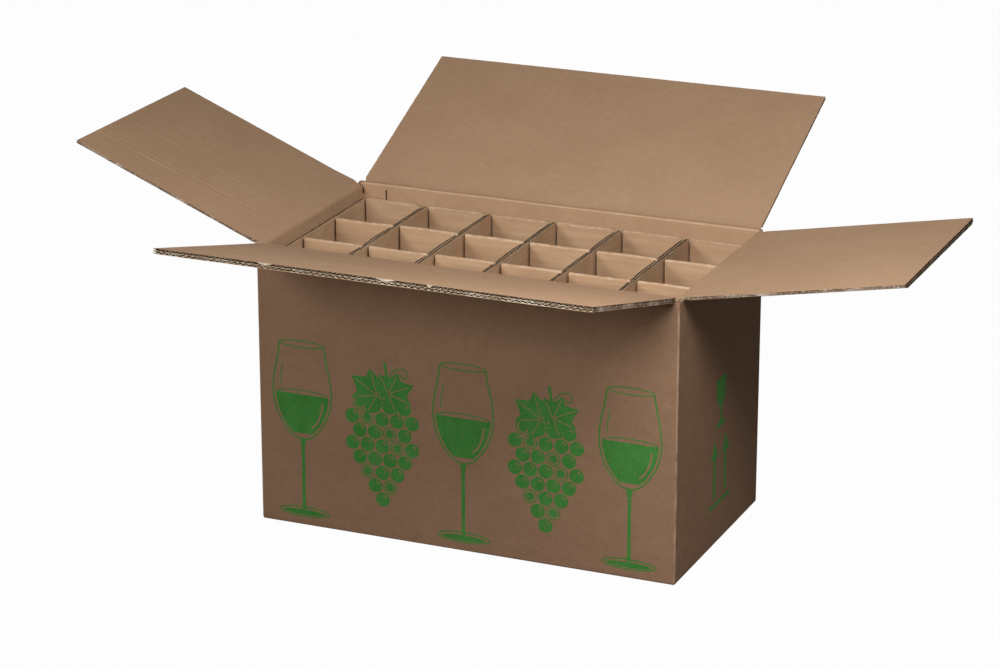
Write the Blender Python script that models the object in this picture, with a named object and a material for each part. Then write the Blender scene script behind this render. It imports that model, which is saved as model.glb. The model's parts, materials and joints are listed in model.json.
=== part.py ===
"""Bottle shipping box: a double-wall board carton with its four top flaps open and six
folded dividers that part it into eighteen cells.

The origin is the centre of the base. +X runs along the length, the front wall faces -Y
and +Z is up. The bottom flaps are closed in three layers inside the lower edges of the
walls. Each top flap turns about its fold, and the folds pivot at three depths of the
board, so that all four flaps open at one level and still close flat in three layers.
"""
import math

import bmesh
import bpy
from mathutils import Matrix, Vector

# Driving dimensions, in metres. The bottles set the cells, and the cells set the carton.
CELL_LENGTH = 0.0792
CELL_WIDTH = 0.084
CREASE_HEIGHT = 0.354
BOARD = 0.0065
SHEET = 0.003
DIVIDER_COUNT = 6
CELLS_EACH = 3

# Clearances and folds of the carton
END_CLEARANCE = 0.0029
CORNER_RADIUS = 0.003
RIM_RADIUS = 0.003
RIM_STEPS = 4
SLOT = 0.004
FLAP_CLEARANCE = 0.001
LAYER_GAP = 0.00035
MEETING_GAP = 0.003
OVERLAP_SHORTFALL = 0.025
TRIM = 0.001

# Folds of the top flaps
FOLD_GAP = 0.0006
FLAP_RELIEF = 0.007
FLAP_DROP_DEG = 45.0
LIFT_FRONT_DEG = 14.8
LIFT_BACK_DEG = 23.4
LIFT_LEFT_DEG = 22.2
LIFT_RIGHT_DEG = 10.6

# Open flutes along the outer edge of each top flap
LINER = 0.0006
INNER_FLUTE = 0.0022
FLUTE_DEPTH = 0.008

# Glued tab that closes the carton, inside the back wall at the left corner
TAB_WIDTH = 0.033
TAB_THICKNESS = 0.0045
TAB_SLOPE = 0.004
TAB_DROP = 0.015
TAB_CLEARANCE = 0.0018

# Dividers: each is one folded sheet with its cells in a row
DIVIDER_GAP = 0.002
DIVIDER_DROP = 0.019
PLEAT_SLIT = 0.0006
PLEAT_END_GAP = 0.003
PANEL_DROP = 0.002
PANEL_BOW = 0.0014
BOW_STEPS = 6
SHEET_BEND = 0.0022
DIVIDER_FRONT_GAP = 0.0027

# Sizes of the dividers, worked out from the cells
PLEAT = 2 * SHEET
DIVIDER_LENGTH = CELLS_EACH * CELL_WIDTH + (CELLS_EACH - 1) * PLEAT + 2 * SHEET
DIVIDER_WIDTH = CELL_LENGTH + 2 * SHEET
DIVIDER_PITCH = DIVIDER_WIDTH + DIVIDER_GAP
ROW_LENGTH = DIVIDER_COUNT * DIVIDER_PITCH - DIVIDER_GAP

# Sizes of the carton, worked out from the dividers
HALF_LENGTH = ROW_LENGTH / 2 + END_CLEARANCE + BOARD
BOX_LENGTH = 2 * HALF_LENGTH
DIVIDER_BACK_GAP = TAB_THICKNESS + TAB_CLEARANCE
BOX_WIDTH = DIVIDER_FRONT_GAP + DIVIDER_LENGTH + DIVIDER_BACK_GAP + 2 * BOARD
HALF_WIDTH = BOX_WIDTH / 2
LAYER = BOARD + LAYER_GAP
FLOOR_TOP = 2 * LAYER + BOARD
DIVIDER_BASE = FLOOR_TOP + LAYER_GAP
DIVIDER_HEIGHT = CREASE_HEIGHT - DIVIDER_DROP - DIVIDER_BASE
LONG_FLAP_SPAN = BOX_LENGTH - 2 * SLOT
SHORT_FLAP_SPAN = BOX_WIDTH - 2 * (BOARD + FLAP_CLEARANCE)
LONG_FLAP_LENGTH = BOX_WIDTH - OVERLAP_SHORTFALL
END_FLAP_LENGTH = HALF_LENGTH - MEETING_GAP

CARTON_COLOUR = (0.335, 0.205, 0.130, 1.0)
FLAP_COLOUR = (0.445, 0.285, 0.165, 1.0)
DIVIDER_COLOUR = (0.480, 0.310, 0.180, 1.0)


class Side:
    """One wall of the carton, with its place and the pivot of its top flap.

    A side's own frame has its origin on the wall's outer face at floor level, X pointing
    out of the carton, Y along the wall and Z up.
    """

    def __init__(self, name, heading_deg, lift_deg, is_long):
        """Keep the side's name and directions, and work out its sizes."""
        self.name = name
        self.heading = math.radians(heading_deg)
        self.lift = math.radians(lift_deg)
        self.reach = HALF_WIDTH if is_long else HALF_LENGTH
        self.span = BOX_LENGTH + 2 * TRIM if is_long else BOX_WIDTH - BOARD
        self.flap_span = LONG_FLAP_SPAN if is_long else SHORT_FLAP_SPAN
        self.flap_length = LONG_FLAP_LENGTH if is_long else END_FLAP_LENGTH

    def frame(self):
        """Give the matrix from the side's own frame to the carton's."""
        turn = Matrix.Rotation(self.heading, 4, "Z")
        return turn @ Matrix.Translation((self.reach, 0.0, 0.0))


FRONT = Side("front", -90, LIFT_FRONT_DEG, True)
BACK = Side("back", 90, LIFT_BACK_DEG, True)
LEFT = Side("left", 180, LIFT_LEFT_DEG, False)
RIGHT = Side("right", 0, LIFT_RIGHT_DEG, False)


def clear_scene():
    """Remove every object of the scene."""
    for item in list(bpy.data.objects):
        bpy.data.objects.remove(item, do_unlink=True)


def board_material(name, colour):
    """Give a matt paper-board material of the given colour."""
    material = bpy.data.materials.new(name)
    material.use_nodes = True
    shader = material.node_tree.nodes["Principled BSDF"]
    shader.inputs["Base Color"].default_value = colour
    shader.inputs["Roughness"].default_value = 0.85
    shader.inputs["Metallic"].default_value = 0.0
    return material


def add_object(name, shape, material=None):
    """Turn a bmesh into a linked object, and free the bmesh."""
    bmesh.ops.recalc_face_normals(shape, faces=shape.faces)
    mesh = bpy.data.meshes.new(name)
    shape.to_mesh(mesh)
    shape.free()
    item = bpy.data.objects.new(name, mesh)
    bpy.context.scene.collection.objects.link(item)
    if material is not None:
        mesh.materials.append(material)
    return item


def as_helper(item):
    """Mark an object as a helper that only shapes another one."""
    item.hide_render = True
    item.display_type = "WIRE"
    return item


def combine(target, helper, operation):
    """Join, cut or trim the target by a helper with an exact Boolean."""
    step = target.modifiers.new(helper.name, "BOOLEAN")
    step.operation = operation
    step.solver = "EXACT"
    step.object = as_helper(helper)


def extrude_outline(outline, low, high, place):
    """Extrude a flat outline and set it in place.

    The outline's points are (x, z) pairs, and the sheet runs along Y from low to high.
    """
    shape = bmesh.new()
    corners = [shape.verts.new((x, low, z)) for x, z in outline]
    face = shape.faces.new(corners)
    grown = bmesh.ops.extrude_face_region(shape, geom=[face])
    moved = [part for part in grown["geom"] if isinstance(part, bmesh.types.BMVert)]
    bmesh.ops.translate(shape, verts=moved, vec=(0.0, high - low, 0.0))
    shape.transform(place)
    return shape


def box_shape(low, high):
    """Make a box between two corners."""
    shape = bmesh.new()
    size = Vector(high) - Vector(low)
    centre = (Vector(high) + Vector(low)) / 2
    place = Matrix.Translation(centre) @ Matrix.Diagonal((*size, 1.0))
    bmesh.ops.create_cube(shape, size=1.0, matrix=place)
    return shape


def outer_pivot():
    """Pivot on the outer liner, in a side's frame: the innermost flaps turn on it."""
    return Vector((0.0, 0.0, CREASE_HEIGHT - BOARD - 2 * LAYER_GAP))


def middle_pivot():
    """Pivot in the middle of the board: the flap of the second layer turns on it."""
    return Vector((-BOARD / 2, 0.0, CREASE_HEIGHT - LAYER_GAP - BOARD / 2))


def rim_pivot():
    """Pivot on the wall's outer rim: the outermost flap turns on it."""
    return Vector((0.0, 0.0, CREASE_HEIGHT))


def crush(depth):
    """Give how far the board is crushed along the fold, for a depth from the pivot."""
    half_angle = math.radians((90.0 - FLAP_DROP_DEG) / 2)
    return depth / math.tan(half_angle)


def outer_wall_top():
    """Top of an end wall: one mitre up to the outer liner, run on by the trim."""
    top = outer_pivot().z
    return [(-BOARD, top - BOARD), (TRIM, top + TRIM)]


def middle_wall_top():
    """Top of the front wall: a ridge in the middle of the board, run on by the trim."""
    half = BOARD / 2
    tip = middle_pivot().z - FOLD_GAP / 2
    return [(-BOARD, tip - half), (-half, tip), (TRIM, tip - crush(half + TRIM))]


def rim_wall_top():
    """Top of the back wall: level at the crease, with the inner liner bent round to it."""
    middle = (RIM_RADIUS - BOARD, CREASE_HEIGHT - RIM_RADIUS)
    bend = []
    for step in range(RIM_STEPS + 1):
        turn = math.radians(90 * step / RIM_STEPS)
        bend.append((middle[0] - RIM_RADIUS * math.cos(turn),
                     middle[1] + RIM_RADIUS * math.sin(turn)))
    return bend + [(TRIM, CREASE_HEIGHT)]


def make_wall(side, top):
    """Make one wall up to its fold, too thick and too deep by what is trimmed off."""
    outline = [(TRIM, -TRIM), (-BOARD, -TRIM)] + top
    return add_object("wall_" + side.name, extrude_outline(
        outline, -side.span / 2, side.span / 2, side.frame()))


def make_bottom_flap(side, layer, span):
    """Make one closed bottom flap, joined to its wall at the fold."""
    base = layer * LAYER
    low = base if layer else -TRIM
    top = base + BOARD
    outline = [(-BOARD / 2, low), (-side.flap_length, low),
               (-side.flap_length, top), (-BOARD / 2, top)]
    return add_object("bottom_flap_" + side.name, extrude_outline(
        outline, -span / 2, span / 2, side.frame()))


def make_tab():
    """Make the glued tab that runs from the left wall onto the back wall."""
    inner_left = BOARD - HALF_LENGTH
    inner_back = HALF_WIDTH - BOARD
    base = FLOOR_TOP + FLAP_CLEARANCE
    top = CREASE_HEIGHT - TAB_DROP
    outline = [(inner_left - BOARD / 2, base), (inner_left, base),
               (inner_left + TAB_WIDTH, base + TAB_SLOPE),
               (inner_left + TAB_WIDTH, top - TAB_SLOPE),
               (inner_left, top), (inner_left - BOARD / 2, top)]
    return add_object("glued_tab", extrude_outline(
        outline, inner_back - TAB_THICKNESS, inner_back + BOARD / 2, Matrix()))


def make_envelope():
    """Make the block with rounded upright and lower edges that trims the folded walls."""
    shape = box_shape((-HALF_LENGTH, -HALF_WIDTH, 0.0),
                      (HALF_LENGTH, HALF_WIDTH, CREASE_HEIGHT + TRIM))
    folds = [edge for edge in shape.edges
             if min(edge.verts[0].co.z, edge.verts[1].co.z) < CREASE_HEIGHT / 2]
    bmesh.ops.bevel(shape, geom=folds, offset=CORNER_RADIUS, offset_type="OFFSET",
                    segments=4, profile=0.5, affect="EDGES", material=-1)
    return add_object("envelope", shape)


def make_carton(material):
    """Make the carton: four walls, four closed bottom flaps and the glued tab."""
    carton = make_wall(FRONT, middle_wall_top())
    carton.name = "carton_body"
    carton.data.materials.append(material)
    combine(carton, make_wall(BACK, rim_wall_top()), "UNION")
    combine(carton, make_wall(LEFT, outer_wall_top()), "UNION")
    combine(carton, make_wall(RIGHT, outer_wall_top()), "UNION")
    long_span = BOX_LENGTH - 2 * (BOARD + FLAP_CLEARANCE)
    combine(carton, make_bottom_flap(FRONT, 0, long_span), "UNION")
    combine(carton, make_bottom_flap(BACK, 1, long_span), "UNION")
    combine(carton, make_bottom_flap(LEFT, 2, SHORT_FLAP_SPAN), "UNION")
    combine(carton, make_bottom_flap(RIGHT, 2, SHORT_FLAP_SPAN), "UNION")
    combine(carton, make_tab(), "UNION")
    combine(carton, make_envelope(), "INTERSECT")
    return carton


def free_edge(reach, inner, outer):
    """Outline of a flap's outer edge: three liners with the two rows of flutes open.

    It runs from the inner face down to the outer face, at the given reach.
    """
    outer_flute = BOARD - 3 * LINER - INNER_FLUTE
    levels = [inner, inner - LINER, inner - LINER - INNER_FLUTE,
              inner - 2 * LINER - INNER_FLUTE,
              inner - 2 * LINER - INNER_FLUTE - outer_flute, outer]
    bottom = reach - FLUTE_DEPTH
    return [(reach, levels[0]), (reach, levels[1]), (bottom, levels[1]),
            (bottom, levels[2]), (reach, levels[2]), (reach, levels[3]),
            (bottom, levels[3]), (bottom, levels[4]), (reach, levels[4]),
            (reach, levels[5])]


def outer_flap_outline(length):
    """Section of an end flap, level and open, about the outer pivot."""
    root = [(FOLD_GAP, 0.0), (FOLD_GAP + BOARD, BOARD)]
    return root + free_edge(length, BOARD, 0.0)


def middle_flap_outline(length):
    """Section of the front flap, level and open, about the middle pivot."""
    half = BOARD / 2
    tip = FOLD_GAP / 2
    root = [(crush(half), -half), (tip, 0.0), (tip + half, half)]
    return root + free_edge(length + half, half, -half)


def rim_flap_outline(length):
    """Section of the back flap, level and open, about the rim pivot."""
    root = [(FOLD_GAP + BOARD, -LAYER_GAP - BOARD), (FOLD_GAP, -LAYER_GAP)]
    return root + free_edge(length, -LAYER_GAP, -LAYER_GAP - BOARD)


def relieve_corners(shape, span):
    """Trim the two root corners of a flap, as the slots between the flaps do."""
    for hand in (-1.0, 1.0):
        plane = Vector((0.0, hand * (span / 2 - FLAP_RELIEF / 2), 0.0))
        away = Vector((-1.0, hand * 2.0, 0.0))
        cut = bmesh.ops.bisect_plane(
            shape, geom=shape.verts[:] + shape.edges[:] + shape.faces[:],
            plane_co=plane, plane_no=away, clear_outer=True)
        rim = [part for part in cut["geom_cut"] if isinstance(part, bmesh.types.BMEdge)]
        bmesh.ops.holes_fill(shape, edges=rim)


def make_top_flap(side, pivot, outline, material):
    """Make one open top flap, with its origin on its fold and turned as it rests.

    The outline is the function that gives the flap's section for its length.
    """
    section = outline(side.flap_length)
    shape = extrude_outline(section, -side.flap_span / 2, side.flap_span / 2, Matrix())
    relieve_corners(shape, side.flap_span)
    flap = add_object("top_flap_" + side.name, shape, material)
    flap.location = side.frame() @ pivot
    flap.rotation_euler = (0.0, -side.lift, side.heading)
    return flap


def bowed_panel(low, high, outer):
    """Points up the inner and down the outer face of one bowed side panel."""
    inner_face = []
    outer_face = []
    for step in range(1, BOW_STEPS):
        share = step / BOW_STEPS
        bow = PANEL_BOW * math.sin(math.pi * share)
        along = low + (high - low) * share
        inner_face.append((outer - SHEET - bow, along))
        outer_face.append((outer - bow, along))
    return inner_face, outer_face


def divider_outline():
    """Plan of one folded divider, walked once round its single strip of board.

    The strip runs along the long panel, round the front wall and back through the side
    panels, from which two pleats and the back wall reach towards the long panel.
    """
    left, right = 0.0, DIVIDER_WIDTH
    front, back = 0.0, DIVIDER_LENGTH
    tip = left + SHEET + PLEAT_END_GAP
    outline = [(left, front), (left, back), (left + SHEET, back), (left + SHEET, front + SHEET)]
    outer_side = []
    low = front + SHEET
    for cell in range(CELLS_EACH):
        high = low + CELL_WIDTH
        inner_face, outer_face = bowed_panel(low, high, right)
        outline += [(right - SHEET, low)] + inner_face + [(right - SHEET, high)]
        outer_side += [(right, low)] + outer_face + [(right, high)]
        thick = SHEET if cell == CELLS_EACH - 1 else PLEAT
        outline += [(tip, high), (tip, high + thick)]
        low = high + thick
    outline += [(right, back)] + outer_side[::-1] + [(right, front)]
    return outline


def round_folds(shape):
    """Round the upright folds on the right, at the front and at the back."""
    folds = []
    for edge in shape.edges:
        first, second = (vert.co for vert in edge.verts)
        upright = abs(first.z - second.z) > DIVIDER_HEIGHT / 2
        on_right = abs(first.x - DIVIDER_WIDTH) < LAYER_GAP
        at_end = min(first.y, DIVIDER_LENGTH - first.y) < LAYER_GAP
        if upright and on_right and at_end:
            folds.append(edge)
    bmesh.ops.bevel(shape, geom=folds, offset=SHEET_BEND, offset_type="OFFSET",
                    segments=3, profile=0.5, affect="EDGES", material=-1)


def pleat_places():
    """Give where each pleat starts along the divider."""
    return [SHEET + CELL_WIDTH + n * (CELL_WIDTH + PLEAT) for n in range(CELLS_EACH - 1)]


def make_pleat_top(start):
    """Make the rounded fold on top of one pleat, as a bar with a round back."""
    steps = 8
    radius = SHEET
    middle = start + SHEET
    crown = [(middle + radius * math.cos(math.pi * n / steps),
              DIVIDER_HEIGHT - radius + radius * math.sin(math.pi * n / steps))
             for n in range(steps + 1)]
    turn = Matrix.Rotation(math.radians(90), 4, "Z") @ Matrix.Diagonal((1, -1, 1, 1))
    return add_object("pleat_top", extrude_outline(
        crown, SHEET + PLEAT_END_GAP, DIVIDER_WIDTH - SHEET_BEND, turn))


def make_divider_mesh():
    """Make the mesh that all the dividers share, standing at its own corner."""
    shape = bmesh.new()
    corners = [shape.verts.new((x, y, 0.0)) for x, y in divider_outline()]
    grown = bmesh.ops.extrude_face_region(shape, geom=[shape.faces.new(corners)])
    moved = [part for part in grown["geom"] if isinstance(part, bmesh.types.BMVert)]
    panel_height = DIVIDER_HEIGHT - PANEL_DROP
    bmesh.ops.translate(shape, verts=moved, vec=(0.0, 0.0, panel_height))
    round_folds(shape)
    divider = add_object("divider_pattern", shape)
    helpers = []
    for start in pleat_places():
        crown = make_pleat_top(start)
        combine(divider, crown, "UNION")
        middle = start + SHEET
        slit = add_object("pleat_slit", box_shape(
            (0.5 * SHEET + SHEET, middle - PLEAT_SLIT / 2, -SHEET),
            (DIVIDER_WIDTH + SHEET, middle + PLEAT_SLIT / 2, DIVIDER_HEIGHT - SHEET)))
        combine(divider, slit, "DIFFERENCE")
        helpers += [crown, slit]
    bpy.context.view_layer.update()
    graph = bpy.context.evaluated_depsgraph_get()
    mesh = bpy.data.meshes.new_from_object(divider.evaluated_get(graph))
    for item in helpers + [divider]:
        bpy.data.objects.remove(item, do_unlink=True)
    return mesh


def make_dividers(material):
    """Stand the dividers side by side in the carton."""
    mesh = make_divider_mesh()
    mesh.name = "divider_sheet"
    mesh.materials.clear()
    mesh.materials.append(material)
    front = BOARD - HALF_WIDTH + DIVIDER_FRONT_GAP
    for number in range(DIVIDER_COUNT):
        divider = bpy.data.objects.new("divider_insert_" + str(number + 1), mesh)
        divider.location = (number * DIVIDER_PITCH - ROW_LENGTH / 2, front, DIVIDER_BASE)
        bpy.context.scene.collection.objects.link(divider)


def main():
    """Build the whole box."""
    clear_scene()
    make_carton(board_material("carton_board", CARTON_COLOUR))
    flap_board = board_material("flap_board", FLAP_COLOUR)
    make_top_flap(FRONT, middle_pivot(), middle_flap_outline, flap_board)
    make_top_flap(BACK, rim_pivot(), rim_flap_outline, flap_board)
    make_top_flap(LEFT, outer_pivot(), outer_flap_outline, flap_board)
    make_top_flap(RIGHT, outer_pivot(), outer_flap_outline, flap_board)
    make_dividers(board_material("divider_board", DIVIDER_COLOUR))


main()
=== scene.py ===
"""Looks of a bottle shipping box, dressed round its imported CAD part.

Lengths are in metres in the part's own frame: the origin is the centre of the base, +X
runs along the length, the front wall faces -Y and +Z is up. Flaps, folds and dividers are
each made in a frame of their own and then set in place in their meshes.
"""
import json
import logging
import math
import random
from dataclasses import dataclass, field
from enum import Enum, IntEnum
from typing import Callable, Dict, List, Optional, Sequence, Tuple

import bmesh
import bpy
from mathutils import Matrix, Vector, noise

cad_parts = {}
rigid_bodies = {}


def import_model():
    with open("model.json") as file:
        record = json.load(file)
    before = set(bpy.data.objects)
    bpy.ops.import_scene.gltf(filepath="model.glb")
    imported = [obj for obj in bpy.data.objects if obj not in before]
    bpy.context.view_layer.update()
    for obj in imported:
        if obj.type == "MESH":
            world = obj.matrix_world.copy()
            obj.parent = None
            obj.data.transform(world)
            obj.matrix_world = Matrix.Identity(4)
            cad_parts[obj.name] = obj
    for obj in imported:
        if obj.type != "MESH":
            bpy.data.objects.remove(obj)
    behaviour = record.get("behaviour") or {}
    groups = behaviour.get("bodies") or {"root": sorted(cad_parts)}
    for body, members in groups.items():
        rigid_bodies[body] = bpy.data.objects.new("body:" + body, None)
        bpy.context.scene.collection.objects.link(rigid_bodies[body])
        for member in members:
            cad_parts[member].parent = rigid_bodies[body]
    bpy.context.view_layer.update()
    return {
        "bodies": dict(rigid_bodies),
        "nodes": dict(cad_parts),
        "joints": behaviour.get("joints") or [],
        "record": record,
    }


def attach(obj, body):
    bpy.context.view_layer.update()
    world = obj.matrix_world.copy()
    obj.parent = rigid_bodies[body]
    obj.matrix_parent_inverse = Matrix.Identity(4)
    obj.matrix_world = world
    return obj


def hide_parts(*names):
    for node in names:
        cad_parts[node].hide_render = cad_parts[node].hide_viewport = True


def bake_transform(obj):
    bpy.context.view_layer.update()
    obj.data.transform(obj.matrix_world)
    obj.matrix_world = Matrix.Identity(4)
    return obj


LOG = logging.getLogger("bottle_box")
MM = 0.001

Point = Tuple[float, float]
Outline = List[Point]
Shaper = Callable[[float, float, float], Vector]


# Sizes of the real box

@dataclass(frozen=True)
class Carton:
    """Sizes of the carton, as the CAD part has them, with an angle in degrees."""

    half_length: float = 0.2700
    half_width: float = 0.1460
    board: float = 0.0065
    crease: float = 0.354
    long_span: float = 0.532
    short_span: float = 0.277
    flap_length: float = 0.267
    liner: float = 0.0006
    inner_flute: float = 0.0022
    flute_depth: float = 0.008
    fold_gap: float = 0.0006
    layer_gap: float = 0.00035
    relief: float = 0.007
    widest_open: float = 67.5


BOX = Carton()


class Fold(Enum):
    """Depth of the board at which a top flap turns."""

    OUTER = "on the outer liner"
    MIDDLE = "in the middle of the board"
    RIM = "on the rim of the wall"


@dataclass(frozen=True)
class Side:
    """One wall of the carton and its top flap.

    A side's own frame has its origin on the wall's outer face at floor level, X pointing
    out of the carton, Y along the wall and Z up. Its flap's frame has its origin on the
    fold, X running out along the open flap and Z square to the flap's inner face.
    """

    name: str
    heading: float
    lift: float
    fold: Fold
    is_long: bool

    @property
    def body(self) -> str:
        """Name of the CAD body that the flap is."""
        return self.name + "_flap"

    @property
    def node(self) -> str:
        """Name of the flap's CAD node."""
        return "top_flap_" + self.name

    @property
    def half_span(self) -> float:
        """Half the flap's length along its fold."""
        return (BOX.long_span if self.is_long else BOX.short_span) / 2

    @property
    def pivot(self) -> Vector:
        """The fold's place in the side's frame."""
        if self.fold is Fold.OUTER:
            return Vector((0.0, 0.0, BOX.crease - BOX.board - 2 * BOX.layer_gap))
        if self.fold is Fold.MIDDLE:
            return Vector((-BOX.board / 2, 0.0, BOX.crease - BOX.layer_gap - BOX.board / 2))
        return Vector((0.0, 0.0, BOX.crease))

    @property
    def inner_level(self) -> float:
        """Height of the flap's inner face over the pivot, in the flap's frame."""
        return {Fold.OUTER: BOX.board, Fold.MIDDLE: BOX.board / 2,
                Fold.RIM: -BOX.layer_gap}[self.fold]

    @property
    def reach(self) -> float:
        """How far the flap runs out from its pivot."""
        return BOX.flap_length + (BOX.board / 2 if self.fold is Fold.MIDDLE else 0.0)

    def wall_frame(self) -> Matrix:
        """Give the matrix from the side's frame to the part's frame."""
        out = BOX.half_width if self.is_long else BOX.half_length
        turn = Matrix.Rotation(math.radians(self.heading), 4, "Z")
        return turn @ Matrix.Translation((out, 0.0, 0.0))

    def pivot_frame(self) -> Matrix:
        """Give the matrix from a frame on the pivot, not lifted, to the part's frame."""
        return self.wall_frame() @ Matrix.Translation(self.pivot)

    def flap_frame(self) -> Matrix:
        """Give the matrix from the flap's frame to the part's frame."""
        return self.pivot_frame() @ Matrix.Rotation(-math.radians(self.lift), 4, "Y")

    def flap_axes(self) -> Tuple[Vector, Vector]:
        """Give the directions along the flap and square to it, out and up at rest."""
        lift = math.radians(self.lift)
        return (Vector((math.cos(lift), math.sin(lift))),
                Vector((-math.sin(lift), math.cos(lift))))

    def root(self, level: float) -> float:
        """Give how far from the pivot the flap's board starts.

        Args:
            level: height in the flap's frame.

        Returns:
            The distance out from the pivot.
        """
        if self.fold is Fold.OUTER:
            return BOX.fold_gap + level
        if self.fold is Fold.RIM:
            return BOX.fold_gap - BOX.layer_gap - level
        if level >= 0.0:
            return BOX.fold_gap / 2 + level
        return max(BOX.fold_gap / 2, -level * math.tan(math.radians(BOX.widest_open)))


FRONT = Side("front", -90.0, 14.8, Fold.MIDDLE, True)
BACK = Side("back", 90.0, 23.4, Fold.RIM, True)
LEFT = Side("left", 180.0, 22.2, Fold.OUTER, False)
RIGHT = Side("right", 0.0, 10.6, Fold.OUTER, False)


@dataclass(frozen=True)
class Insert:
    """Sizes of one folded divider, as the CAD part has them."""

    count: int = 6
    cells: int = 3
    cell_width: float = 0.084
    sheet: float = 0.003
    width: float = 0.0852
    length: float = 0.270
    pitch: float = 0.0872
    height: float = 0.31445
    base: float = 0.02055
    front: float = -0.1368
    left: float = -0.2606
    panel_drop: float = 0.002
    end_gap: float = 0.003
    slit: float = 0.0006
    bend: float = 0.0022

    @property
    def pleat(self) -> float:
        """Thickness of a pleat, which is the sheet folded double."""
        return 2 * self.sheet


INSERT = Insert()

# Long wrinkles of the left flap: place at the fold, place at the outer edge, strength
WRINKLES = ((0.078, 0.088, 1.0), (0.064, 0.076, 0.7), (0.057, 0.061, 0.5),
            (0.024, 0.016, 0.6), (-0.006, -0.014, 0.4), (-0.052, -0.060, 0.3))
# Torn places along the front flap's outer edge: middle and half width
TEARS = ((-0.126, 0.006), (0.021, 0.008), (0.074, 0.003))


# Nodes and materials

def linear(code: str) -> Tuple[float, float, float, float]:
    """Turn an sRGB hex colour into the linear one that the shaders take.

    Args:
        code: the colour as six hex digits after a hash.

    Returns:
        The linear red, green, blue and an alpha of 1.
    """
    values = [int(code[n:n + 2], 16) / 255.0 for n in (1, 3, 5)]
    bent = [v / 12.92 if v <= 0.04045 else ((v + 0.055) / 1.055) ** 2.4 for v in values]
    return bent[0], bent[1], bent[2], 1.0


def add_node(tree: bpy.types.NodeTree, kind: str, inputs: Optional[Dict] = None,
             **settings: object) -> bpy.types.Node:
    """Add a shader node with its settings, values and links.

    Args:
        tree: node tree that gets the node.
        kind: the node's type without its ShaderNode prefix.
        inputs: a value or a socket to link for each input, by name or number.
        settings: attributes of the node.

    Returns:
        The new node.
    """
    node = tree.nodes.new("ShaderNode" + kind)
    for name, value in settings.items():
        setattr(node, name, value)
    for name, value in (inputs or {}).items():
        if isinstance(value, bpy.types.NodeSocket):
            tree.links.new(value, node.inputs[name])
        else:
            node.inputs[name].default_value = value
    return node


class FlapSlot(IntEnum):
    """Material slots of a flap and of the liner over its fold."""

    INNER = 0
    OUTER = 1
    EDGE = 2
    FLUTING = 3
    TORN = 4
    SHADED_HOLLOW = 5
    RIDGE_HIGHLIGHT = 6
    SIDE = 7


class DividerSlot(IntEnum):
    """Material slots of a divider."""

    LINER = 0
    EDGE = 1
    FLUTING = 2
    SHADED_HOLLOW = 3


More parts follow.
